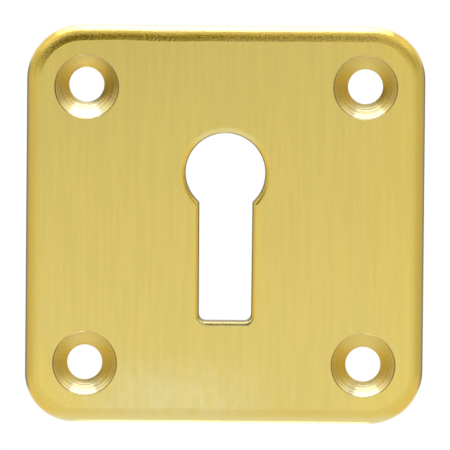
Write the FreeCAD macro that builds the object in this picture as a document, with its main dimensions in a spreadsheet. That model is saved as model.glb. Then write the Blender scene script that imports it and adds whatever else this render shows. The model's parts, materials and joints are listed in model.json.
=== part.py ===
import FreeCAD, Part
import math
import os
import Sketcher

# Keyhole escutcheon: one square brass plate, upright as it is screwed to a door or a drawer front.
# The front faces -Y, the back lies on the plane y = 0, and +Z is up.
# The origin is the centre of the four screw holes, on the back of the plate.
# Lengths are in millimetres and angles in degrees.

DIMENSIONS = (
    # The plate, with its front edge rolled over and its corners ground by hand, each a little differently.
    ("plate_width", 50.0),
    ("plate_height", 50.0),
    ("plate_thickness", 2.5),
    ("corner_top_left", 6.8),
    ("corner_top_right", 6.6),
    ("corner_bottom_left", 6.1),
    ("corner_bottom_right", 6.8),
    ("front_rolling", 1.5),
    ("back_break", 0.2),
    # The screw holes, one in each corner, countersunk from the front.
    ("screw_inset_across", 7.5),
    ("screw_inset_up", 7.5),
    ("screw_hole_diameter", 4.4),
    ("countersink_diameter", 8.1),
    ("countersink_angle", 90.0),
    # The keyhole: a round eye for the key's stem, over a slot for its bit.
    ("eye_radius", 5.0),
    ("eye_height", 6.6),
    ("slot_width", 6.6),
    ("slot_drop", 18.7),
    ("slot_corner", 0.9),
    ("shoulder_rounding", 0.5),
    ("keyhole_rolling", 0.35),
)
SIZE = dict(DIMENSIONS)
SHEET = "Dimensions"
PLATE = "escutcheon_plate"

# A constraint numbers a piece of a sketch and its points in this order, and calls the sketch's origin this.
POINTS = ("whole", "start", "end", "centre")
ORIGIN = (-1, 1)

# How far two measures of the finished shape may differ and still be the same.
TOLERANCE = 1e-4


def cell(name):
    """The expression that reads one driving dimension."""
    return f"{SHEET}.{name}"


def fill_sheet(doc):
    """Write each driving dimension into the sheet, with its name as the alias of its cell."""
    sheet = doc.addObject("Spreadsheet::Sheet", SHEET)
    for row, (name, value) in enumerate(DIMENSIONS, start=1):
        sheet.set(f"A{row}", name)
        sheet.set(f"B{row}", str(value))
        sheet.setAlias(f"B{row}", name)
    doc.recompute()


def upright_sketch(body, name, in_front):
    """A sketch on the upright plane, with X across and Z up, on the plate's back or on its front."""
    plane = next(item for item in body.Origin.OriginFeatures if item.Role == "XZ_Plane")
    sketch = body.newObject("Sketcher::SketchObject", name)
    sketch.AttachmentSupport = [(plane, "")]
    sketch.MapMode = "FlatFace"
    if in_front:
        sketch.setExpression("AttachmentOffset.Base.z", cell("plate_thickness"))
    return sketch


def line(sketch, start, end):
    return sketch.addGeometry(Part.LineSegment(FreeCAD.Vector(*start, 0), FreeCAD.Vector(*end, 0)))


def circle(centre, radius):
    return Part.Circle(FreeCAD.Vector(*centre, 0), FreeCAD.Vector(0, 0, 1), radius)


def arc(sketch, centre, radius, first, last):
    """An arc that runs anticlockwise between two angles in radians."""
    return sketch.addGeometry(Part.ArcOfCircle(circle(centre, radius), first, last))


def drive(sketch, constraint, name, expression):
    """Add a constraint whose value is worked out from the sheet."""
    index = sketch.addConstraint(constraint)
    sketch.renameConstraint(index, name)
    sketch.setExpression(f"Constraints.{name}", expression)


def set_across(sketch, name, piece, point, value, expression):
    """Hold a piece's point that far to the right of the origin, or to its left if the value is negative."""
    held = (piece, POINTS.index(point))
    ends = (*ORIGIN, *held) if value > 0 else (*held, *ORIGIN)
    drive(sketch, Sketcher.Constraint("DistanceX", *ends, abs(value)), name, expression)


def set_up(sketch, name, piece, point, value, expression):
    """Hold a piece's point that far above the origin, or below it if the value is negative."""
    held = (piece, POINTS.index(point))
    ends = (*ORIGIN, *held) if value > 0 else (*held, *ORIGIN)
    drive(sketch, Sketcher.Constraint("DistanceY", *ends, abs(value)), name, expression)


def set_radius(sketch, name, piece, value, expression):
    drive(sketch, Sketcher.Constraint("Radius", piece, value), name, expression)


def join_smoothly(sketch, *joints):
    """Join pieces end to end with no corner between them."""
    for one, one_end, other, other_end in joints:
        ends = (one, POINTS.index(one_end), other, POINTS.index(other_end))
        sketch.addConstraint(Sketcher.Constraint("Tangent", *ends))


def draw_outline(body):
    """The plate's outline: a square with a rounded corner of its own radius at each corner."""
    sketch = upright_sketch(body, "plate_outline", in_front=False)
    across = SIZE["plate_width"] / 2
    up = SIZE["plate_height"] / 2
    top_left = SIZE["corner_top_left"]
    top_right = SIZE["corner_top_right"]
    low_left = SIZE["corner_bottom_left"]
    low_right = SIZE["corner_bottom_right"]
    quarter = math.pi / 2

    bottom = line(sketch, (low_left - across, -up), (across - low_right, -up))
    right = line(sketch, (across, low_right - up), (across, up - top_right))
    top = line(sketch, (across - top_right, up), (top_left - across, up))
    left = line(sketch, (-across, up - top_left), (-across, low_left - up))
    corner_low_right = arc(sketch, (across - low_right, low_right - up), low_right, -quarter, 0)
    corner_top_right = arc(sketch, (across - top_right, up - top_right), top_right, 0, quarter)
    corner_top_left = arc(sketch, (top_left - across, up - top_left), top_left, quarter, 2 * quarter)
    corner_low_left = arc(sketch, (low_left - across, low_left - up), low_left, 2 * quarter, 3 * quarter)

    join_smoothly(
        sketch,
        (bottom, "end", corner_low_right, "start"),
        (corner_low_right, "end", right, "start"),
        (right, "end", corner_top_right, "start"),
        (corner_top_right, "end", top, "start"),
        (top, "end", corner_top_left, "start"),
        (corner_top_left, "end", left, "start"),
        (left, "end", corner_low_left, "start"),
        (corner_low_left, "end", bottom, "start"),
    )
    for level in (bottom, top):
        sketch.addConstraint(Sketcher.Constraint("Horizontal", level))
    for plumb in (left, right):
        sketch.addConstraint(Sketcher.Constraint("Vertical", plumb))
    half_width = f"{cell('plate_width')} / 2"
    half_height = f"{cell('plate_height')} / 2"
    set_across(sketch, "right_edge", right, "start", across, half_width)
    set_across(sketch, "left_edge", left, "start", -across, half_width)
    set_up(sketch, "top_edge", top, "start", up, half_height)
    set_up(sketch, "bottom_edge", bottom, "start", -up, half_height)
    set_radius(sketch, "low_right", corner_low_right, low_right, cell("corner_bottom_right"))
    set_radius(sketch, "top_right", corner_top_right, top_right, cell("corner_top_right"))
    set_radius(sketch, "top_left", corner_top_left, top_left, cell("corner_top_left"))
    set_radius(sketch, "low_left", corner_low_left, low_left, cell("corner_bottom_left"))
    return sketch


def draw_keyhole(body):
    """The keyhole: a round eye that runs over small shoulders into an upright slot with a flat foot."""
    sketch = upright_sketch(body, "keyhole_outline", in_front=True)
    eye_radius = SIZE["eye_radius"]
    eye_height = SIZE["eye_height"]
    side = SIZE["slot_width"] / 2
    foot = eye_height - SIZE["slot_drop"]
    corner = SIZE["slot_corner"]
    shoulder = SIZE["shoulder_rounding"]
    out = side + shoulder
    fall = math.sqrt((eye_radius + shoulder) ** 2 - out ** 2)
    neck = eye_height - fall
    turn = math.atan2(fall, out)
    quarter = math.pi / 2

    eye = arc(sketch, (0, eye_height), eye_radius, -turn, 2 * quarter + turn)
    left_shoulder = arc(sketch, (-out, neck), shoulder, 0, turn)
    left_side = line(sketch, (-side, neck), (-side, foot + corner))
    left_corner = arc(sketch, (corner - side, foot + corner), corner, 2 * quarter, 3 * quarter)
    base = line(sketch, (corner - side, foot), (side - corner, foot))
    right_corner = arc(sketch, (side - corner, foot + corner), corner, -quarter, 0)
    right_side = line(sketch, (side, foot + corner), (side, neck))
    right_shoulder = arc(sketch, (out, neck), shoulder, 2 * quarter - turn, 2 * quarter)

    join_smoothly(
        sketch,
        (eye, "end", left_shoulder, "end"),
        (left_shoulder, "start", left_side, "start"),
        (left_side, "end", left_corner, "start"),
        (left_corner, "end", base, "start"),
        (base, "end", right_corner, "start"),
        (right_corner, "end", right_side, "start"),
        (right_side, "end", right_shoulder, "end"),
        (right_shoulder, "start", eye, "start"),
    )
    sketch.addConstraint(Sketcher.Constraint("Horizontal", base))
    for plumb in (left_side, right_side):
        sketch.addConstraint(Sketcher.Constraint("Vertical", plumb))
    centre = (eye, POINTS.index("centre"))
    sketch.addConstraint(Sketcher.Constraint("Vertical", *ORIGIN, *centre))
    sketch.addConstraint(Sketcher.Constraint("Equal", left_shoulder, right_shoulder))
    sketch.addConstraint(Sketcher.Constraint("Equal", left_corner, right_corner))
    set_up(sketch, "eye_height", eye, "centre", eye_height, cell("eye_height"))
    set_radius(sketch, "eye_radius", eye, eye_radius, cell("eye_radius"))
    set_radius(sketch, "shoulder", left_shoulder, shoulder, cell("shoulder_rounding"))
    set_radius(sketch, "corner", left_corner, corner, cell("slot_corner"))
    half_slot = f"{cell('slot_width')} / 2"
    set_across(sketch, "right_side", right_side, "start", side, half_slot)
    set_across(sketch, "left_side", left_side, "start", -side, half_slot)
    drop = Sketcher.Constraint("DistanceY", base, POINTS.index("start"), *centre, SIZE["slot_drop"])
    drive(sketch, drop, "slot_drop", cell("slot_drop"))
    return sketch


def draw_screw_holes(body):
    """The bores of the four screw holes, each as far in from the plate's edges as the others."""
    sketch = upright_sketch(body, "screw_hole_centres", in_front=True)
    radius = SIZE["screw_hole_diameter"] / 2
    across = SIZE["plate_width"] / 2 - SIZE["screw_inset_across"]
    up = SIZE["plate_height"] / 2 - SIZE["screw_inset_up"]
    across_rule = f"{cell('plate_width')} / 2 - {cell('screw_inset_across')}"
    up_rule = f"{cell('plate_height')} / 2 - {cell('screw_inset_up')}"
    for side_name, side in (("right", 1), ("left", -1)):
        for level_name, level in (("top", 1), ("low", -1)):
            hole = sketch.addGeometry(circle((side * across, level * up), radius))
            place = f"{level_name}_{side_name}"
            set_across(sketch, f"{place}_across", hole, "centre", side * across, across_rule)
            set_up(sketch, f"{place}_up", hole, "centre", level * up, up_rule)
            set_radius(sketch, f"{place}_bore", hole, radius, f"{cell('screw_hole_diameter')} / 2")
    return sketch


def flat_face(shape, depth):
    """The flat face that lies at one depth."""
    for face in shape.Faces:
        box = face.BoundBox
        if abs(box.YMin - depth) < TOLERANCE and abs(box.YMax - depth) < TOLERANCE:
            return face
    raise RuntimeError(f"no flat face at the depth {depth:.3f}")


def names_of(shape, edges):
    """What the shape calls those edges."""
    numbered = enumerate(shape.Edges, start=1)
    return [f"Edge{number}" for number, edge in numbered if any(edge.isSame(other) for other in edges)]


def outer_edges(shape, depth):
    """Names of the edges round the outside of the flat face at one depth."""
    return names_of(shape, flat_face(shape, depth).OuterWire.Edges)


def opening_edges(shape, depth):
    """Names of the edges round the openings in the flat face at one depth."""
    face = flat_face(shape, depth)
    openings = [wire for wire in face.Wires if not wire.isSame(face.OuterWire)]
    return names_of(shape, [edge for wire in openings for edge in wire.Edges])


def cut_smaller(doc, feature, before):
    """Recompute, and make sure that the feature took something away."""
    doc.recompute()
    after = feature.Shape.Volume
    if not after < before - TOLERANCE:
        raise RuntimeError(f"{feature.Name} cut nothing: {before:.3f} before and {after:.3f} after")
    return after


def make_plate(doc):
    """The whole escutcheon: the plate, its rolled edge, its keyhole and its countersunk screw holes."""
    body = doc.addObject("PartDesign::Body", PLATE)
    body.Label = PLATE
    body.Placement = FreeCAD.Placement()

    slab = body.newObject("PartDesign::Pad", "slab")
    slab.Profile = draw_outline(body)
    slab.setExpression("Length", cell("plate_thickness"))
    doc.recompute()
    volume = slab.Shape.Volume
    front = slab.Shape.BoundBox.YMin
    back = slab.Shape.BoundBox.YMax

    front_roll = body.newObject("PartDesign::Fillet", "front_rolled_edge")
    front_roll.Base = (slab, outer_edges(slab.Shape, front))
    front_roll.setExpression("Radius", cell("front_rolling"))
    volume = cut_smaller(doc, front_roll, volume)

    back_break = body.newObject("PartDesign::Chamfer", "back_edge_break")
    back_break.Base = (front_roll, outer_edges(front_roll.Shape, back))
    back_break.setExpression("Size", cell("back_break"))
    volume = cut_smaller(doc, back_break, volume)

    keyhole = body.newObject("PartDesign::Pocket", "keyhole")
    keyhole.Profile = draw_keyhole(body)
    keyhole.Type = "ThroughAll"
    volume = cut_smaller(doc, keyhole, volume)

    keyhole_roll = body.newObject("PartDesign::Fillet", "keyhole_rolled_edge")
    keyhole_roll.Base = (keyhole, opening_edges(keyhole.Shape, front))
    keyhole_roll.setExpression("Radius", cell("keyhole_rolling"))
    volume = cut_smaller(doc, keyhole_roll, volume)

    screw_holes = body.newObject("PartDesign::Hole", "screw_holes")
    screw_holes.Profile = draw_screw_holes(body)
    doc.recompute()
    screw_holes.ThreadType = "None"
    screw_holes.DepthType = "ThroughAll"
    screw_holes.HoleCutType = "Countersink"
    screw_holes.HoleCutCustomValues = True
    screw_holes.setExpression("Diameter", cell("screw_hole_diameter"))
    screw_holes.setExpression("HoleCutDiameter", cell("countersink_diameter"))
    screw_holes.setExpression("HoleCutCountersinkAngle", cell("countersink_angle"))
    cut_smaller(doc, screw_holes, volume)
    body.Tip = screw_holes
    return body


def check(doc, pieces):
    """Stop if any object of the document failed, or if a piece is not one whole valid solid."""
    doc.recompute()
    for item in doc.Objects:
        if "Invalid" in item.State or "Error" in item.State:
            raise RuntimeError(f"{item.Name} failed: {item.State}")
    for piece in pieces:
        shape = piece.Shape
        if shape.isNull() or not shape.isValid() or len(shape.Solids) != 1:
            raise RuntimeError(f"{piece.Label} is not one valid solid")


def main():
    doc = FreeCAD.newDocument("keyhole_escutcheon")
    fill_sheet(doc)
    pieces = [make_plate(doc)]
    check(doc, pieces)
    os.makedirs("parts", exist_ok=True)
    for piece in pieces:
        piece.Shape.exportStep(f"parts/{piece.Label}.step")
        box = piece.Shape.optimalBoundingBox(True, False)
        extent = f"{box.XLength:.2f} x {box.YLength:.2f} x {box.ZLength:.2f} mm"
        print(f"{piece.Label}: {extent}, volume {piece.Shape.Volume:.1f} mm3")


main()
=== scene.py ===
"""Keyhole escutcheon: a square brass plate with rolled edges, four countersunk screw holes and a keyhole.

The plate is one closed mesh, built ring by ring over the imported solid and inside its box.
Lengths are in millimetres until the mesh is made, x to the right, y to the back and z up.
"""

import json
import math

import bmesh
import bpy
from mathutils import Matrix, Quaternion, Vector, noise
from mathutils.geometry import delaunay_2d_cdt


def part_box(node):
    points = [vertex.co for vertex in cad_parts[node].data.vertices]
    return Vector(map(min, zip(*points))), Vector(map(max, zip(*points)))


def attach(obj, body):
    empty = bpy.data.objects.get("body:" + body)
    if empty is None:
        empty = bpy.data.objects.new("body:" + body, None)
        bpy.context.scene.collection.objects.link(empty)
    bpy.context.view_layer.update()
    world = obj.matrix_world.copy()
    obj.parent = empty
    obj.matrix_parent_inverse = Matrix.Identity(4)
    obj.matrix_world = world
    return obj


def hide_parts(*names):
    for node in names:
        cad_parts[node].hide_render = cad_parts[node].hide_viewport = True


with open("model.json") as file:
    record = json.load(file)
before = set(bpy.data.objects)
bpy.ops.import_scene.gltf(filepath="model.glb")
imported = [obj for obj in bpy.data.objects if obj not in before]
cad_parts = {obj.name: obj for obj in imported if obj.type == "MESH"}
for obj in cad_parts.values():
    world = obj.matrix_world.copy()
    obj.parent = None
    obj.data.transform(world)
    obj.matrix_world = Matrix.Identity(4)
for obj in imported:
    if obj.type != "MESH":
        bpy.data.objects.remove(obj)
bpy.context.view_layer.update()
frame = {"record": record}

MM = 0.001
NODE = "escutcheon_plate"
low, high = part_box(NODE)
HALF = (high.x - low.x) / 2 / MM
FRONT = low.y / MM
BACK = high.y / MM
HOLES = next(m for m in frame["record"]["mounts"] if m["name"] == "screw_holes")["dims"]

# Plate outline
CORNER_RADII = {"top_right": 6.6, "top_left": 6.8, "bottom_left": 6.1, "bottom_right": 6.8}
CORNER_STEPS = 30
STRAIGHT_STEPS = 44
ROLLING_WIDTH = 1.85
ROLLING_POWER = 1.7
ROLLING_END = 8.0
ROLLING_UNEVEN = 0.07
ROLLING_WAVE = 7.0
ROLLING_PHASE = 3.7
ROLLING_STEPS = 22
BACK_BREAK = 0.2
SUPPORT = 0.04
PROFILE_PARTS = 400

# Slopes in degrees at which the polish is full and the dull punched wall begins and is full
POLISH_FROM = 14.0
POLISH_ASIDE = 38.0
RAW_FROM = 34.0
RAW_TO = 70.0

# How far an edge's outward direction points up below the top edge, and sideways on an upright one
TOP_EDGE_TO = 0.6
# The dark dull skin stays only on the upright sides, which in part makes it painted shade
UPRIGHT_FROM = 0.9

# Keyhole
EYE_RADIUS = 5.0
EYE_HEIGHT = 6.6
SLOT_HALF = 3.3
SLOT_FOOT = -12.1
SLOT_MIDDLE = -5.0
SLOT_CORNER = 0.9
SHOULDER = 0.5
EYE_STEPS = 96
SHOULDER_STEPS = 8
SLOT_CORNER_STEPS = 14
SLOT_SIDE_STEPS = 40
SLOT_FOOT_STEPS = 14
SLOT_ASIDE = 0.09
SLOT_TAPER = 0.012
KEYHOLE_ROLL_WIDTH = 1.0
KEYHOLE_ROLL_POWER = 2.2
KEYHOLE_ROLL_STEPS = 14
KEYHOLE_WALL_STEPS = 3

# Screw holes
HOLE_RADIUS = HOLES["hole_r_mm"]
HOLE_PITCH = HOLES["spacing_x_mm"]
SINK_RADIUS = 4.05
SINK_BREAK = 0.05
BREAK_MIDDLE = 0.3
SINK_LIP = 0.09
SINK_LIP_DEPTH = 0.12
SINK_BOWL = math.radians(3.0)
SINK_ASIDE = {(-1, 1): -0.17}
SINK_SIDES = 112
RING_LEVELS = 34
RING_PITCH = 0.42
RING_DEPTH = 0.0035
RING_FADE = 0.7
RING_SWAY = 1.3
RING_SWAY_PACE = 0.6
# Where the painted highlight in the lower part of each countersink begins, and over what it spreads
GLEAM_FROM = 0.7
GLEAM_SPAN = 0.2
# Painted shade on the countersinks' sides, falling off towards their tops and bottoms
UPPER_FLANK_POWER = 1.6
LOWER_FLANK_POWER = 4.0
# Partly painted shade: how much of the dark dull rim stays above and below each hole, compared with its sides
UPPER_RAW_LEAST = 0.5
LOWER_RAW_LEAST = 0.2
RAW_POWER = 4

# Closing faces and smoothing
INSIDE_CONSTRAINTS = 1
FLAT_TOLERANCE = 0.0001
WELD_DISTANCE = 0.0005
SHARP_ANGLE = math.radians(32)


# Shape helpers

def roll_profile(width, power, steps, end=0.0):
    """(inset, depth, slope in degrees) from the upright wall to the face, met at the end's slope."""
    fine = PROFILE_PARTS
    inset, depth = [0.0], [0.0]
    for k in range(fine):
        slope = math.radians(end + (90 - end) * (1 - (k + 0.5) / fine) ** power)
        inset.append(inset[-1] + math.cos(slope))
        depth.append(depth[-1] + math.sin(slope))
    scale = width / inset[-1]
    total = depth[-1]
    picks = [round(fine * k / steps) for k in range(steps + 1)]
    slopes = [end + (90 - end) * (1 - p / fine) ** power for p in picks]
    return [(inset[p] * scale, (total - depth[p]) * scale, slope) for p, slope in zip(picks, slopes)]


def arc(cx, cz, radius, start, end, steps, inward=False):
    """Points on an arc with the direction that leads into the metal, or out of it for the plate's corners."""
    out = []
    for k in range(steps + 1):
        a = math.radians(start + (end - start) * k / steps)
        n = (math.cos(a), math.sin(a))
        out.append(((cx + radius * n[0], cz + radius * n[1]), (-n[0], -n[1]) if inward else n))
    return out


def between(a, b, steps):
    """Points strictly between the ends of a straight run, with the normal of its first end."""
    (ax, az), n = a
    (bx, bz), _ = b
    return [((ax + (bx - ax) * k / steps, az + (bz - az) * k / steps), n) for k in range(1, steps)]


def plate_outline():
    """The plate's outline, anticlockwise from the front, starting on its right side."""
    corners = (
        (1, 1, "top_right"),
        (-1, 1, "top_left"),
        (-1, -1, "bottom_left"),
        (1, -1, "bottom_right"),
    )
    arcs = []
    for i, (sx, sz, name) in enumerate(corners):
        r = CORNER_RADII[name]
        start = 90 * i
        arcs.append(arc(sx * (HALF - r), sz * (HALF - r), r, start, start + 90, CORNER_STEPS))
    loop = []
    for i, points in enumerate(arcs):
        loop += points + between(points[-1], arcs[(i + 1) % 4][0], STRAIGHT_STEPS)
    return loop


def keyhole_outline():
    """The keyhole's wall, anticlockwise: point, normal into the metal, and whether it is a shoulder."""
    drop = math.sqrt((EYE_RADIUS + SHOULDER) ** 2 - (SLOT_HALF + SHOULDER) ** 2)
    sx, sz = SLOT_HALF + SHOULDER, EYE_HEIGHT - drop
    turn = math.degrees(math.atan2(-drop, sx))
    corner_x, corner_z = SLOT_HALF - SLOT_CORNER, SLOT_FOOT + SLOT_CORNER
    eye = arc(0, EYE_HEIGHT, EYE_RADIUS, turn, 180 - turn, EYE_STEPS)
    left_shoulder = arc(-sx, sz, SHOULDER, -turn, 0, SHOULDER_STEPS, inward=True)
    left_corner = arc(-corner_x, corner_z, SLOT_CORNER, 180, 270, SLOT_CORNER_STEPS)
    right_corner = arc(corner_x, corner_z, SLOT_CORNER, 270, 360, SLOT_CORNER_STEPS)
    right_shoulder = arc(sx, sz, SHOULDER, 180, 180 + turn, SHOULDER_STEPS, inward=True)
    left_side = between(left_shoulder[-1], left_corner[0], SLOT_SIDE_STEPS)
    foot = between(left_corner[-1], right_corner[0], SLOT_FOOT_STEPS)
    right_side = between(right_corner[-1], right_shoulder[0], SLOT_SIDE_STEPS)
    loop = [(p, n, False) for p, n in eye[1:-1]]
    loop += [(p, n, True) for p, n in left_shoulder]
    loop += [(p, n, False) for p, n in left_side + left_corner + foot + right_corner + right_side]
    loop += [(p, n, True) for p, n in right_shoulder]
    return loop


def keyhole_offset(point, normal, shoulder, inset):
    """A point of the keyhole's wall moved into the metal; past its radius a shoulder comes to a corner."""
    if shoulder and inset > SHOULDER:
        x = SLOT_HALF + inset
        z = EYE_HEIGHT - math.sqrt((EYE_RADIUS + inset) ** 2 - x ** 2)
        return math.copysign(x, point[0]), z
    return point[0] + normal[0] * inset, point[1] + normal[1] * inset


def in_metal(point, lines):
    """Whether a point of a level face is inside the outline and in none of the openings."""
    crossings = 0
    for a, b in lines:
        if (a.y > point.y) != (b.y > point.y):
            crossings += point.x < a.x + (point.y - a.y) * (b.x - a.x) / (b.y - a.y)
    return crossings % 2 == 1


# Mesh

class Plate:
    """Gathers rings of vertices, the strips between them and the level faces that close them."""

    def __init__(self):
        self.mesh = bmesh.new()
        self.polish = self.mesh.verts.layers.float.new("polish")
        self.turned = self.mesh.verts.layers.float.new("turned")
        self.raw_and_shade = self.mesh.verts.layers.float.new("raw_and_shade")
        self.painted_flank_shade = self.mesh.verts.layers.float.new("painted_flank_shade")
        self.painted_gleam = self.mesh.verts.layers.float.new("painted_gleam")

    def ring(self, points, polish, turned=0.0, raw_and_shade=0.0):
        made = []
        for x, y, z in points:
            v = self.mesh.verts.new((x, y, z))
            v[self.polish] = polish
            v[self.turned] = turned
            v[self.raw_and_shade] = raw_and_shade
            made.append(v)
        return made

    def strips(self, rings):
        for a, b in zip(rings, rings[1:]):
            for i in range(len(a)):
                j = (i + 1) % len(a)
                self.mesh.faces.new((a[i], a[j], b[j], b[i]))

    def close(self, loops):
        """Level faces between an outline and the openings inside it."""
        corners = [v for loop in loops for v in loop]
        edges = []
        for loop in loops:
            start = len(edges)
            edges += [(start + i, start + (i + 1) % len(loop)) for i in range(len(loop))]
        flat = [Vector((v.co.x, v.co.z)) for v in corners]
        made = delaunay_2d_cdt(flat, edges, [], INSIDE_CONSTRAINTS, FLAT_TOLERANCE)
        lines = [(flat[a], flat[b]) for a, b in edges]
        for face in made[2]:
            if in_metal(sum((made[0][k] for k in face), Vector((0, 0))) / 3, lines):
                self.mesh.faces.new([corners[made[3][k][0]] for k in face])


def ease(t):
    t = min(max(t, 0.0), 1.0)
    return t * t * (3 - 2 * t)


def rawness(slope):
    """How much of the punched wall's dull skin is left where the edge has this slope in degrees."""
    return ease((slope - RAW_FROM) / (RAW_TO - RAW_FROM))


def edge_rings(plate):
    """The plate's rim: back break, wall, and the front edge rolled over by hand, so not quite evenly."""
    loop = plate_outline()
    unit = roll_profile(1.0, ROLLING_POWER, ROLLING_STEPS, ROLLING_END)

    def rolling(point):
        wave = noise.noise(Vector((point[0] / ROLLING_WAVE, ROLLING_PHASE, point[1] / ROLLING_WAVE)))
        return ROLLING_WIDTH * (1 + ROLLING_UNEVEN * wave)

    def ring(place, polish, raw_and_shade=0.0, aside=None):
        """A ring of the rim, which may have another polish aside from the top edge."""
        points = []
        upright = []
        lower = []
        for (x, z), (nx, nz) in loop:
            inset, y = place((x, z))
            points.append((x - nx * inset, y, z - nz * inset))
            upright.append(ease((abs(nx) - UPRIGHT_FROM) / (1 - UPRIGHT_FROM)))
            lower.append(ease((TOP_EDGE_TO - nz) / TOP_EDGE_TO))
        made = plate.ring(points, polish, raw_and_shade=raw_and_shade)
        for v, side, below in zip(made, upright, lower):
            # Partly painted shade: the dark dull skin stays on the upright sides only
            v[plate.raw_and_shade] = raw_and_shade * side
            if aside is not None:
                v[plate.polish] = polish + (aside - polish) * below
        return made

    rings = [
        ring(lambda p: (BACK_BREAK, BACK), polish=0.0),
        ring(lambda p: (0.0, BACK - BACK_BREAK), polish=1.0, raw_and_shade=1.0),
    ]
    for inset, depth, slope in unit:
        rings.append(ring(
            lambda p: (rolling(p) * inset, FRONT + rolling(p) * depth),
            polish=ease(slope / POLISH_FROM),
            raw_and_shade=rawness(slope),
            aside=ease(slope / POLISH_ASIDE),
        ))
    rings.append(ring(lambda p: (rolling(p) + SUPPORT, FRONT), polish=0.0))
    plate.strips(rings)
    return rings[0], rings[-1]


def keyhole_rings(plate):
    """The keyhole's wall and the soft shoulder that runs round it on the front."""
    loop = keyhole_outline()
    profile = roll_profile(KEYHOLE_ROLL_WIDTH, KEYHOLE_ROLL_POWER, KEYHOLE_ROLL_STEPS)

    def ring(inset, y, polish, raw_and_shade=0.0):
        points = []
        for p, n, shoulder in loop:
            x, z = keyhole_offset(p, n, shoulder, inset)
            down = ease((EYE_HEIGHT - z) / EYE_RADIUS)
            wider = SLOT_TAPER * (z - SLOT_MIDDLE) / (EYE_HEIGHT - SLOT_MIDDLE)
            points.append((x * (1 + down * wider) + down * SLOT_ASIDE, y, z))
        return plate.ring(points, polish, raw_and_shade=raw_and_shade)

    deepest = FRONT + profile[0][1]
    rings = [ring(SUPPORT, BACK, polish=0.0)]
    for k in range(KEYHOLE_WALL_STEPS):
        rings.append(ring(0.0, BACK + (deepest - BACK) * k / KEYHOLE_WALL_STEPS, polish=1.0, raw_and_shade=1.0))
    for inset, depth, slope in profile:
        rings.append(ring(inset, FRONT + depth, ease(slope / POLISH_FROM), rawness(slope)))
    rings.append(ring(KEYHOLE_ROLL_WIDTH + SUPPORT, FRONT, polish=0.0))
    plate.strips(rings)
    return rings[0], rings[-1]


def screw_hole_rings(plate, sx, sz):
    """One countersunk hole: sharp rim, steep lip, cone with the cutter's fine rings, and plain wall."""
    angles = [math.radians(360 * k / SINK_SIDES) for k in range(SINK_SIDES)]
    cx, cz = sx * HOLE_PITCH / 2, sz * HOLE_PITCH / 2
    aside = SINK_ASIDE.get((sx, sz), 0.0)

    def circle(radius, y, polish, turned, centring=1.0, raw_and_shade=0.0):
        """A ring of the hole; a centring of 0 keeps it true to the screw, 1 gives it the whole offset."""
        place = cz + aside * centring
        points = [(cx + radius * math.cos(a), y, place + radius * math.sin(a)) for a in angles]
        made = plate.ring(points, polish, turned, raw_and_shade)
        for v, a in zip(made, angles):
            over = math.sin(a) > 0
            least = UPPER_RAW_LEAST if over else LOWER_RAW_LEAST
            # Painted shade: the cone is darker on its left and right sides
            v[plate.painted_flank_shade] = abs(math.cos(a)) ** (UPPER_FLANK_POWER if over else LOWER_FLANK_POWER)
            # Painted highlight: the lower part of the cone is paler
            v[plate.painted_gleam] = ease((-math.sin(a) - GLEAM_FROM) / GLEAM_SPAN)
            # Partly painted shade: the dark rim is strongest on the hole's sides and weaker above and below
            v[plate.raw_and_shade] = raw_and_shade * (least + (1 - least) * math.cos(a) ** RAW_POWER)
        return made

    brim = SINK_RADIUS + SINK_BREAK
    bevel = SINK_BREAK * BREAK_MIDDLE
    top = SINK_RADIUS - SINK_LIP
    depth = SINK_BREAK + SINK_LIP_DEPTH
    rings = [
        circle(brim + SUPPORT, FRONT, polish=0.0, turned=0.0),
        circle(brim, FRONT, polish=0.5, turned=0.2),
        circle(SINK_RADIUS + bevel, FRONT + bevel, polish=1.0, turned=0.6, raw_and_shade=0.6),
        circle(SINK_RADIUS, FRONT + SINK_BREAK, polish=1.0, turned=1.0, raw_and_shade=1.0),
        circle(top, FRONT + depth, polish=1.0, turned=1.0, raw_and_shade=0.5),
    ]
    land = SINK_RADIUS - HOLE_RADIUS
    step = (top - HOLE_RADIUS) / RING_LEVELS
    middle = math.atan((land - depth) / (top - HOLE_RADIUS))
    for k in range(1, RING_LEVELS + 1):
        share = (k - 0.5) / RING_LEVELS
        depth += step * math.tan(middle + SINK_BOWL * (0.5 - share))
        radius = top - step * k
        phase = 2 * math.pi * (radius - HOLE_RADIUS) / RING_PITCH
        fade = ease((radius - HOLE_RADIUS) / RING_FADE)
        groove = RING_DEPTH * fade * math.sin(phase + RING_SWAY * math.sin(RING_SWAY_PACE * phase))
        rings.append(circle(radius, FRONT + depth + groove, polish=1.0, turned=1.0, centring=1 - share))
    rings.append(circle(HOLE_RADIUS, (FRONT + depth) / 2, polish=1.0, turned=0.0, centring=0.0))
    rings.append(circle(HOLE_RADIUS, BACK, polish=0.6, turned=0.0, centring=0.0))
    rings.append(circle(HOLE_RADIUS + SUPPORT, BACK, polish=0.0, turned=0.0, centring=0.0))
    plate.strips(rings)
    return rings[-1], rings[0]


def build_plate():
    """The whole plate as one closed mesh, in metres."""
    plate = Plate()
    loops = [edge_rings(plate), keyhole_rings(plate)]
    for sx in (-1, 1):
        for sz in (-1, 1):
            loops.append(screw_hole_rings(plate, sx, sz))
    plate.close([back for back, front in loops])
    plate.close([front for back, front in loops])
    bmesh.ops.remove_doubles(plate.mesh, verts=plate.mesh.verts, dist=WELD_DISTANCE)
    bmesh.ops.recalc_face_normals(plate.mesh, faces=plate.mesh.faces)
    bmesh.ops.scale(plate.mesh, verts=plate.mesh.verts, vec=(MM, MM, MM))
    mesh = bpy.data.meshes.new("brass_plate")
    plate.mesh.to_mesh(mesh)
    plate.mesh.free()
    mesh.shade_smooth()
    mesh.set_sharp_from_angle(angle=SHARP_ANGLE)
    piece = bpy.data.objects.new("brass_plate", mesh)
    bpy.context.scene.collection.objects.link(piece)
    return piece


# Brass

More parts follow.
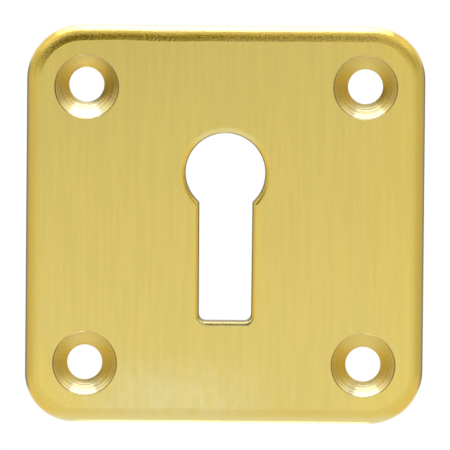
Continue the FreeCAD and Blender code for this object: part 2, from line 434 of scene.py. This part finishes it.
class Nodes:
    """Short names for the node tree calls of one material or world."""

    def __init__(self, tree):
        self.tree = tree
        tree.nodes.clear()

    def add(self, kind, **values):
        node = self.tree.nodes.new(kind)
        for name, value in values.items():
            setattr(node, name, value)
        return node

    def link(self, a, b):
        self.tree.links.new(a, b)

    def put(self, socket, value):
        if hasattr(value, "is_output"):
            self.link(value, socket)
        else:
            socket.default_value = value

    def math(self, operation, a, b=0.0):
        node = self.add("ShaderNodeMath", operation=operation)
        self.put(node.inputs[0], a)
        self.put(node.inputs[1], b)
        return node.outputs[0]

    def times(self, a, b):
        return self.math("MULTIPLY", a, b)

    def attribute(self, name):
        return self.add("ShaderNodeAttribute", attribute_name=name).outputs["Fac"]

    def remap(self, value, span, to_low=0.0, to_high=1.0):
        """A smooth step over a span."""
        node = self.add("ShaderNodeMapRange", interpolation_type="SMOOTHSTEP")
        self.put(node.inputs["Value"], value)
        self.put(node.inputs["From Min"], span[0])
        self.put(node.inputs["From Max"], span[1])
        self.put(node.inputs["To Min"], to_low)
        self.put(node.inputs["To Max"], to_high)
        return node.outputs["Result"]

    def along(self, value, span, to_low=0.0, to_high=1.0):
        """A smooth step over a span in millimetres."""
        return self.remap(value, (span[0] * MM, span[1] * MM), to_low, to_high)

    def mix_colour(self, factor, a, b):
        node = self.add("ShaderNodeMix", data_type="RGBA", blend_type="MIX")
        self.put(node.inputs[0], factor)
        self.put(node.inputs[6], a)
        self.put(node.inputs[7], b)
        return node.outputs[2]

    def mix_value(self, factor, a, b):
        node = self.add("ShaderNodeMix", data_type="FLOAT")
        self.put(node.inputs[0], factor)
        self.put(node.inputs[2], a)
        self.put(node.inputs[3], b)
        return node.outputs[0]

    def grain(self, coords, per_mm, detail, offset):
        """Noise with its own number of cycles to the millimetre along each axis."""
        mapping = self.add("ShaderNodeMapping")
        self.link(coords, mapping.inputs["Vector"])
        mapping.inputs["Scale"].default_value = [f / MM for f in per_mm]
        mapping.inputs["Location"].default_value = (offset, offset, offset)
        texture = self.add("ShaderNodeTexNoise")
        texture.inputs["Scale"].default_value = 1.0
        texture.inputs["Detail"].default_value = detail
        self.link(mapping.outputs["Vector"], texture.inputs["Vector"])
        return texture.outputs["Fac"]


FACE_BRASS = (0.67, 0.505, 0.066, 1)
WARM_BRASS = (0.74, 0.545, 0.04, 1)
# Paler brass laid as painted light: the face's brighter lower part and its sheen, and painted highlights on
# the edges
PAINTED_LIGHT_BRASS = (0.72, 0.61, 0.21, 1)
EDGE_BRASS = (0.71, 0.475, 0.02, 1)
SINK_BRASS = (0.79, 0.645, 0.215, 1)
# Darker brass for painted shade on the countersinks' sides
FLANK_PAINTED_SHADE_BRASS = (0.65, 0.48, 0.09, 1)
# Pale brass for painted highlights on the top edge and low in the countersinks
PAINTED_GLEAM_BRASS = (0.77, 0.69, 0.40, 1)
DULL_BRASS = (0.56, 0.42, 0.13, 1)
# Dark dull skin of the punched walls, which also serves as painted shade on the upright sides and the holes'
# rims
RAW_AND_SHADE_BRASS = (0.17, 0.125, 0.04, 1)
RAW_TINT = (0.5, 0.4, 0.25, 1)

# Lacquer over the brass
LACQUER_IOR = 1.8
LACQUER_ROUGHNESS = 0.15
LACQUER_ON_RAW = 0.5

# Roughness
RAW_ROUGHNESS = 0.38
FACE_ROUGHNESS = (0.25, 0.31)
EDGE_ROUGHNESS = (0.13, 0.2)
SINK_ROUGHNESS = 0.2
BACK_ROUGHNESS = 0.42

# Grains: cycles to the millimetre along x, y and z, then detail and offset
FINE_GRAIN = ((9.0, 9.0, 0.16), 2.0, 0.0)
STREAK_GRAIN = ((1.5, 1.5, 0.10), 2.0, 4.0)
MOTTLE_GRAIN = ((0.9, 0.9, 0.5), 3.0, 9.0)
WOBBLE_GRAIN = ((0.9, 0.9, 0.9), 3.0, 2.0)
CRACKLE_GRAIN = ((4.5, 4.5, 4.5), 2.0, 6.0)
STREAK_SPAN = (0.3, 0.7)
WOBBLE_SPAN = (0.35, 0.65)
MOTTLE_SPAN = (0.33, 0.65)
MOTTLE_LEAST = 0.55

# Face: spans in millimetres over which painted light pales it low down and in a painted sheen left of the
# middle, and over which it warms, and by how much
LOW_FACE_SPAN = (2.0, -22.0)
LOW_FACE_PAINTED_LIGHT = 0.16
PAINTED_SHEEN_AT = (-7.0, -15.0)
PAINTED_SHEEN_SIZE = (17.0, 8.0)
CORNER_SPAN = (12.0, 23.0)
CORNER_HEIGHT = (20.0, -20.0)
TOP_CORNER_WARMTH = 0.55
RIGHT_SPAN = (16.0, 23.0)
RIGHT_WARMTH = 0.3

# Edges: spans in millimetres over which painted highlights pale them and make them gleam, and by how much
LOW_EDGE_SPAN = (-23.2, -24.6)
LOW_EDGE_PAINTED_HIGHLIGHT = 0.85
STEEP_SPAN = (FRONT + 0.22, FRONT + 0.6)
STEEP_PAINTED_GLEAM = 0.65
GLEAM_HEIGHT = (15.0, 21.0)
GLEAM_REACH = (22.0, 17.0)
EYE_TOP_SPAN = (9.5, 11.3)
EYE_TOP_PAINTED_HIGHLIGHT = 0.9
FOOT_SPAN = (SLOT_FOOT + 0.5, SLOT_FOOT)
FOOT_PAINTED_HIGHLIGHT = 0.8
KEYHOLE_REACH = (8.0, 5.0)
KEYHOLE_HEIGHT = (17.0, 14.0)
BACK_SPAN = (-0.45, -0.1)

# Bumps, in millimetres, and the shares of wobble and crackle in the edge's
GRAIN_BUMP = 0.0012
EDGE_BUMP = 0.03
CRACKLE_DEPTH = (FRONT + 0.55, FRONT + 0.2)
CRACKLE_HEIGHT = (17.5, 21.5)
CRACKLE_TOP = 1.2
CRACKLE_LEAST = 0.4
WOBBLE_SHARE = 0.7


def face_colour(n, axes, mottle):
    """Painted light: paler low down and in a painted sheen left of the middle; warmer in the corners and on
    the right.
    """
    # Painted light: the face is paler towards the bottom
    low_face = n.times(n.along(axes["Z"], LOW_FACE_SPAN), LOW_FACE_PAINTED_LIGHT)
    # Painted sheen: a paler patch low down left of the middle
    across = n.math("ABSOLUTE", n.math("SUBTRACT", axes["X"], PAINTED_SHEEN_AT[0] * MM))
    beside = n.along(across, (PAINTED_SHEEN_SIZE[0], 0.0))
    below = n.along(axes["Z"], (PAINTED_SHEEN_AT[1], PAINTED_SHEEN_AT[1] - PAINTED_SHEEN_SIZE[1]))
    # The mottle breaks up the painted light and sheen
    mottled = n.mix_value(n.remap(mottle, MOTTLE_SPAN), MOTTLE_LEAST, 1.0)
    pale = n.times(mottled, n.math("ADD", low_face, n.times(beside, below)))
    up_down = n.math("ABSOLUTE", axes["Z"])
    left_right = n.math("ABSOLUTE", axes["X"])
    corner = n.times(n.along(up_down, CORNER_SPAN), n.along(left_right, CORNER_SPAN))
    corner = n.times(corner, n.along(axes["Z"], CORNER_HEIGHT, TOP_CORNER_WARMTH, 1.0))
    warm = n.math("MAXIMUM", corner, n.along(axes["X"], RIGHT_SPAN, 0.0, RIGHT_WARMTH))
    return n.mix_colour(pale, n.mix_colour(warm, FACE_BRASS, WARM_BRASS), PAINTED_LIGHT_BRASS)


def edge_colour(n, axes):
    """Painted highlights: paler on the bottom edge and at both ends of the keyhole, and palest on the top
    edge's steep part.
    """
    up_down = n.math("ABSOLUTE", axes["Z"])
    left_right = n.math("ABSOLUTE", axes["X"])
    # Painted highlight along the bottom edge
    low_edge = n.along(axes["Z"], LOW_EDGE_SPAN, 0.0, LOW_EDGE_PAINTED_HIGHLIGHT)
    # Painted highlights at the top of the keyhole's eye and at its foot
    eye_top = n.along(axes["Z"], EYE_TOP_SPAN, 0.0, EYE_TOP_PAINTED_HIGHLIGHT)
    foot = n.along(axes["Z"], FOOT_SPAN, 0.0, FOOT_PAINTED_HIGHLIGHT)
    near_keyhole = n.times(n.along(left_right, KEYHOLE_REACH), n.along(up_down, KEYHOLE_HEIGHT))
    keyhole_ends = n.times(n.math("MAXIMUM", eye_top, foot), near_keyhole)
    edge = n.mix_colour(n.math("MAXIMUM", keyhole_ends, low_edge), EDGE_BRASS, PAINTED_LIGHT_BRASS)
    # Painted gleam on the steep part of the top edge, away from the corners
    steep = n.along(axes["Y"], STEEP_SPAN, 0.0, STEEP_PAINTED_GLEAM)
    on_top = n.times(n.along(axes["Z"], GLEAM_HEIGHT), n.along(left_right, GLEAM_REACH))
    return n.mix_colour(n.times(steep, on_top), edge, PAINTED_GLEAM_BRASS)


def surface_bump(n, axes, fine, wobble, crackle, polish, turned):
    """Brush marks on the face, and hand polishing on the edges that is roughest along the top."""
    grain_bump = n.add("ShaderNodeBump")
    grain_bump.inputs["Distance"].default_value = GRAIN_BUMP * MM
    n.link(n.times(fine, n.math("SUBTRACT", 1.0, polish)), grain_bump.inputs["Height"])
    edge_bump = n.add("ShaderNodeBump")
    edge_bump.inputs["Distance"].default_value = EDGE_BUMP * MM
    near_face = n.along(axes["Y"], CRACKLE_DEPTH)
    along_top = n.along(axes["Z"], CRACKLE_HEIGHT)
    crackled = n.math("ADD", n.times(n.times(near_face, along_top), CRACKLE_TOP), CRACKLE_LEAST)
    height = n.math("ADD", n.times(wobble, WOBBLE_SHARE), n.times(crackle, crackled))
    n.link(n.times(height, n.math("SUBTRACT", polish, turned)), edge_bump.inputs["Height"])
    n.link(grain_bump.outputs["Normal"], edge_bump.inputs["Normal"])
    return edge_bump.outputs["Normal"]


def brass_material():
    """Lacquered brass: brushed face, polished edges, turned countersinks, dull back, dull punched walls; its
    colour also carries painted light, highlights and shade.
    """
    material = bpy.data.materials.new("satin_brass")
    material.use_nodes = True
    n = Nodes(material.node_tree)
    out = n.add("ShaderNodeOutputMaterial")
    shader = n.add("ShaderNodeBsdfPrincipled")
    shader.inputs["Metallic"].default_value = 1.0
    punched = n.add("ShaderNodeBsdfPrincipled")
    punched.inputs["Base Color"].default_value = RAW_AND_SHADE_BRASS
    punched.inputs["Metallic"].default_value = 1.0
    punched.inputs["Roughness"].default_value = RAW_ROUGHNESS
    punched.inputs["Specular Tint"].default_value = RAW_TINT
    for one, weight in ((shader, 1.0), (punched, LACQUER_ON_RAW)):
        one.inputs["Coat Weight"].default_value = weight
        one.inputs["Coat Roughness"].default_value = LACQUER_ROUGHNESS
        one.inputs["Coat IOR"].default_value = LACQUER_IOR
    both = n.add("ShaderNodeMixShader")
    n.link(n.attribute("raw_and_shade"), both.inputs[0])
    n.link(shader.outputs[0], both.inputs[1])
    n.link(punched.outputs[0], both.inputs[2])
    n.link(both.outputs[0], out.inputs["Surface"])

    coords = n.add("ShaderNodeTexCoord").outputs["Object"]
    separate = n.add("ShaderNodeSeparateXYZ")
    n.link(coords, separate.inputs[0])
    axes = separate.outputs
    polish = n.attribute("polish")
    turned = n.attribute("turned")
    behind = n.along(axes["Y"], BACK_SPAN)
    fine = n.grain(coords, *FINE_GRAIN)
    streak = n.grain(coords, *STREAK_GRAIN)
    mottle = n.grain(coords, *MOTTLE_GRAIN)
    wobble = n.grain(coords, *WOBBLE_GRAIN)
    crackle = n.grain(coords, *CRACKLE_GRAIN)

    colour = n.mix_colour(polish, face_colour(n, axes, mottle), edge_colour(n, axes))
    # Painted shade on the countersinks' sides
    cone = n.mix_colour(n.attribute("painted_flank_shade"), SINK_BRASS, FLANK_PAINTED_SHADE_BRASS)
    # Painted highlight in the countersinks' lower part
    cone = n.mix_colour(n.attribute("painted_gleam"), cone, PAINTED_GLEAM_BRASS)
    colour = n.mix_colour(turned, colour, cone)
    colour = n.mix_colour(n.times(behind, n.math("SUBTRACT", 1.0, polish)), colour, DULL_BRASS)
    n.link(colour, shader.inputs["Base Color"])

    rough_face = n.remap(streak, STREAK_SPAN, *FACE_ROUGHNESS)
    rough_edge = n.remap(wobble, WOBBLE_SPAN, *EDGE_ROUGHNESS)
    rough = n.mix_value(polish, rough_face, rough_edge)
    rough = n.mix_value(turned, rough, SINK_ROUGHNESS)
    rough = n.mix_value(behind, rough, BACK_ROUGHNESS)
    n.link(rough, shader.inputs["Roughness"])
    n.link(surface_bump(n, axes, fine, wobble, crackle, polish, turned), shader.inputs["Normal"])
    return material


# Studio

WHITE = (1, 1, 1, 1)
WATTS_PER_RADIANCE = 4
DARK_TONE = (0.02, 0.018, 0.04, 1)
GREY_TONE = (0.57, 0.57, 0.56, 1)

# Camera, in metres
CAMERA_DISTANCE = 1.5
CAMERA_ELEVATION = math.radians(4.7)
CAMERA_ROLL = math.radians(0.50)
FRAME_WIDTH = 0.05650
PICTURE_PIXELS = 450
AIM_RISE_PIXELS = 0.6
AIM = Vector((0.0, FRONT * MM, AIM_RISE_PIXELS * FRAME_WIDTH / PICTURE_PIXELS))
SENSOR = 36.0
CLIP_END = 20.0

# Floor
FLOOR_HEIGHT = -0.12
FLOOR_RADIUS = 0.5
FLOOR_SIDES = 96
FLOOR_GREY = (0.2, 0.2, 0.2, 1)
FLOOR_GLOW = 0.79

# Room: spans of the direction's x, y and z, and the levels they end in
FRONT_LEVEL = 1.17
LEFT_SPAN = (-0.14, -1.0)
LEFT_LEVEL = 0.70
RIGHT_SIDE_SPAN = (0.1, 1.0)
RIGHT_LEVEL = 0.64
HEIGHT_SPAN = (0.0, 0.5)
HIGH_LEVEL = 0.80
ASIDE_SPAN = (0.3, 0.7)
HIGH_SIDE_LEVEL = 0.55
BEHIND_SPAN = (-0.1, 0.25)


def add_camera():
    """A long lens a little above the plate's middle, turned like the photo."""
    data = bpy.data.cameras.new("photo_camera")
    data.sensor_width = SENSOR
    data.lens = SENSOR * CAMERA_DISTANCE / FRAME_WIDTH
    data.clip_end = CLIP_END
    camera = bpy.data.objects.new("photo_camera", data)
    bpy.context.scene.collection.objects.link(camera)
    back = Vector((0, -math.cos(CAMERA_ELEVATION), math.sin(CAMERA_ELEVATION)))
    camera.location = AIM + back * CAMERA_DISTANCE
    camera.rotation_mode = "QUATERNION"
    camera.rotation_quaternion = back.to_track_quat("Z", "Y") @ Quaternion((0, 0, 1), CAMERA_ROLL)
    bpy.context.scene.camera = camera


def add_lamp(name, centre, width, depth, radiance):
    """A level lamp of even radiance, facing the plate's height, that isn't itself in the picture."""
    data = bpy.data.lights.new(name, "AREA")
    data.shape = "RECTANGLE"
    data.size = width
    data.size_y = depth
    data.energy = radiance * width * depth * WATTS_PER_RADIANCE
    lamp = bpy.data.objects.new(name, data)
    bpy.context.scene.collection.objects.link(lamp)
    lamp.location = centre
    lamp.rotation_mode = "QUATERNION"
    lamp.rotation_quaternion = Vector((0.0, 0.0, centre[2])).to_track_quat("Z", "Y")
    lamp.visible_camera = False


def add_floor():
    """A white ground whose own light keeps it white in the picture and leaves the shadow on it."""
    mesh = bpy.data.meshes.new("floor")
    m = bmesh.new()
    bmesh.ops.create_circle(m, cap_ends=True, segments=FLOOR_SIDES, radius=FLOOR_RADIUS)
    m.to_mesh(mesh)
    m.free()
    floor = bpy.data.objects.new("floor", mesh)
    bpy.context.scene.collection.objects.link(floor)
    floor.location.z = FLOOR_HEIGHT
    material = bpy.data.materials.new("white_ground")
    material.use_nodes = True
    n = Nodes(material.node_tree)
    out = n.add("ShaderNodeOutputMaterial")
    matt = n.add("ShaderNodeBsdfDiffuse")
    matt.inputs["Color"].default_value = FLOOR_GREY
    glow = n.add("ShaderNodeEmission")
    glow.inputs["Color"].default_value = WHITE
    rays = n.add("ShaderNodeLightPath").outputs
    mirrored = n.math("ADD", rays["Is Glossy Ray"], rays["Is Transmission Ray"])
    seen = n.math("ADD", rays["Is Camera Ray"], mirrored)
    n.link(n.times(n.math("MINIMUM", seen, 1.0), FLOOR_GLOW), glow.inputs["Strength"])
    both = n.add("ShaderNodeAddShader")
    n.link(matt.outputs[0], both.inputs[0])
    n.link(glow.outputs[0], both.inputs[1])
    n.link(both.outputs[0], out.inputs["Surface"])
    mesh.materials.append(material)


def add_card(name, centre, width, height, soft, tone, bend=0.0, rise=0.0, headroom=0.0):
    """A card in front of the plate, out of the picture, that dims what the metal mirrors through it.

    soft gives the widths of its soft left, right, bottom and top edges. Right of the bend the dark part
    climbs by the rise, and the headroom keeps its top edge down.
    """
    mesh = bpy.data.meshes.new(name)
    m = bmesh.new()
    bmesh.ops.create_grid(m, x_segments=1, y_segments=1, size=0.5)
    bmesh.ops.scale(m, verts=m.verts, vec=(width, height, 1))
    m.to_mesh(mesh)
    m.free()
    card = bpy.data.objects.new(name, mesh)
    bpy.context.scene.collection.objects.link(card)
    card.location = centre
    card.rotation_euler = (math.radians(90), 0, 0)
    material = bpy.data.materials.new(name)
    material.use_nodes = True
    n = Nodes(material.node_tree)
    out = n.add("ShaderNodeOutputMaterial")
    clear = n.add("ShaderNodeBsdfTransparent")
    axes = n.add("ShaderNodeSeparateXYZ")
    n.link(n.add("ShaderNodeTexCoord").outputs["Object"], axes.inputs[0])
    half_width, half_height = width / 2, height / 2
    crest = half_height - headroom
    left = n.remap(axes.outputs["X"], (-half_width, -half_width + soft[0]))
    right = n.remap(axes.outputs["X"], (half_width, half_width - soft[1]))
    past_bend = n.math("MAXIMUM", n.math("SUBTRACT", axes.outputs["X"], bend - centre[0]), 0.0)
    up = n.math("SUBTRACT", axes.outputs["Y"], n.times(past_bend, rise))
    low = n.remap(up, (-half_height, -half_height + soft[2]))
    top = n.remap(up, (crest, crest - soft[3]))
    cover = n.times(n.times(left, right), n.times(low, top))
    n.link(n.mix_colour(cover, WHITE, tone), clear.inputs["Color"])
    n.link(clear.outputs[0], out.inputs["Surface"])
    mesh.materials.append(material)
    card.visible_camera = False
    card.visible_diffuse = False


def add_world():
    """White behind the plate, and a plain room in front of it that is a little darker to the sides."""
    world = bpy.data.worlds.new("studio")
    bpy.context.scene.world = world
    world.use_nodes = True
    n = Nodes(world.node_tree)
    out = n.add("ShaderNodeOutputWorld")
    separate = n.add("ShaderNodeSeparateXYZ")
    n.link(n.add("ShaderNodeTexCoord").outputs["Generated"], separate.inputs[0])
    axes = separate.outputs
    left = n.remap(axes["X"], LEFT_SPAN, 1.0, LEFT_LEVEL)
    right = n.remap(axes["X"], RIGHT_SIDE_SPAN, 1.0, RIGHT_LEVEL)
    side = n.times(n.times(left, right), FRONT_LEVEL)
    height = n.remap(axes["Z"], HEIGHT_SPAN, 1.0, HIGH_LEVEL)
    aside = n.remap(n.math("ABSOLUTE", axes["X"]), ASIDE_SPAN)
    high_side = n.times(n.times(aside, n.remap(axes["Z"], ASIDE_SPAN)), HIGH_SIDE_LEVEL)
    room = n.math("ADD", n.times(side, height), high_side)
    behind = n.remap(axes["Y"], BEHIND_SPAN)
    rays = n.add("ShaderNodeLightPath").outputs
    mirrored = n.math("ADD", rays["Is Glossy Ray"], rays["Is Transmission Ray"])
    white = n.math("ADD", rays["Is Camera Ray"], n.times(mirrored, behind))
    level = n.mix_value(n.math("MINIMUM", white, 1.0), room, 1.0)
    background = n.add("ShaderNodeBackground")
    background.inputs["Color"].default_value = WHITE
    n.link(level, background.inputs["Strength"])
    n.link(background.outputs[0], out.inputs["Surface"])


# Scene

piece = build_plate()
piece.data.materials.append(brass_material())
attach(piece, "root")
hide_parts(NODE)

add_camera()
add_world()
add_floor()
add_card(
    "dark_card",
    centre=(-0.0855, -0.28, 0.262),
    width=0.237,
    height=0.52,
    soft=(0.16, 0.045, 0.05, 0.20),
    tone=DARK_TONE,
    bend=-0.025,
    rise=3.4,
    headroom=0.20,
)
add_card(
    "grey_card",
    centre=(0.0, -0.20, 0.07),
    width=0.60,
    height=0.24,
    soft=(0.05, 0.05, 0.16, 0.11),
    tone=GREY_TONE,
)
add_lamp("top_light", centre=(-0.009, 0.034, 0.15), width=0.172, depth=0.156, radiance=1.45)
add_lamp("back_light", centre=(-0.015, 0.302, 0.15), width=0.44, depth=0.38, radiance=0.12)
add_lamp("under_light", centre=(0.001, 0.043, -0.105), width=0.038, depth=0.042, radiance=0.85)
add_lamp("under_back_light", centre=(0.001, 0.241, -0.105), width=0.044, depth=0.354, radiance=0.15)
bpy.context.scene.view_settings.view_transform = "Standard"
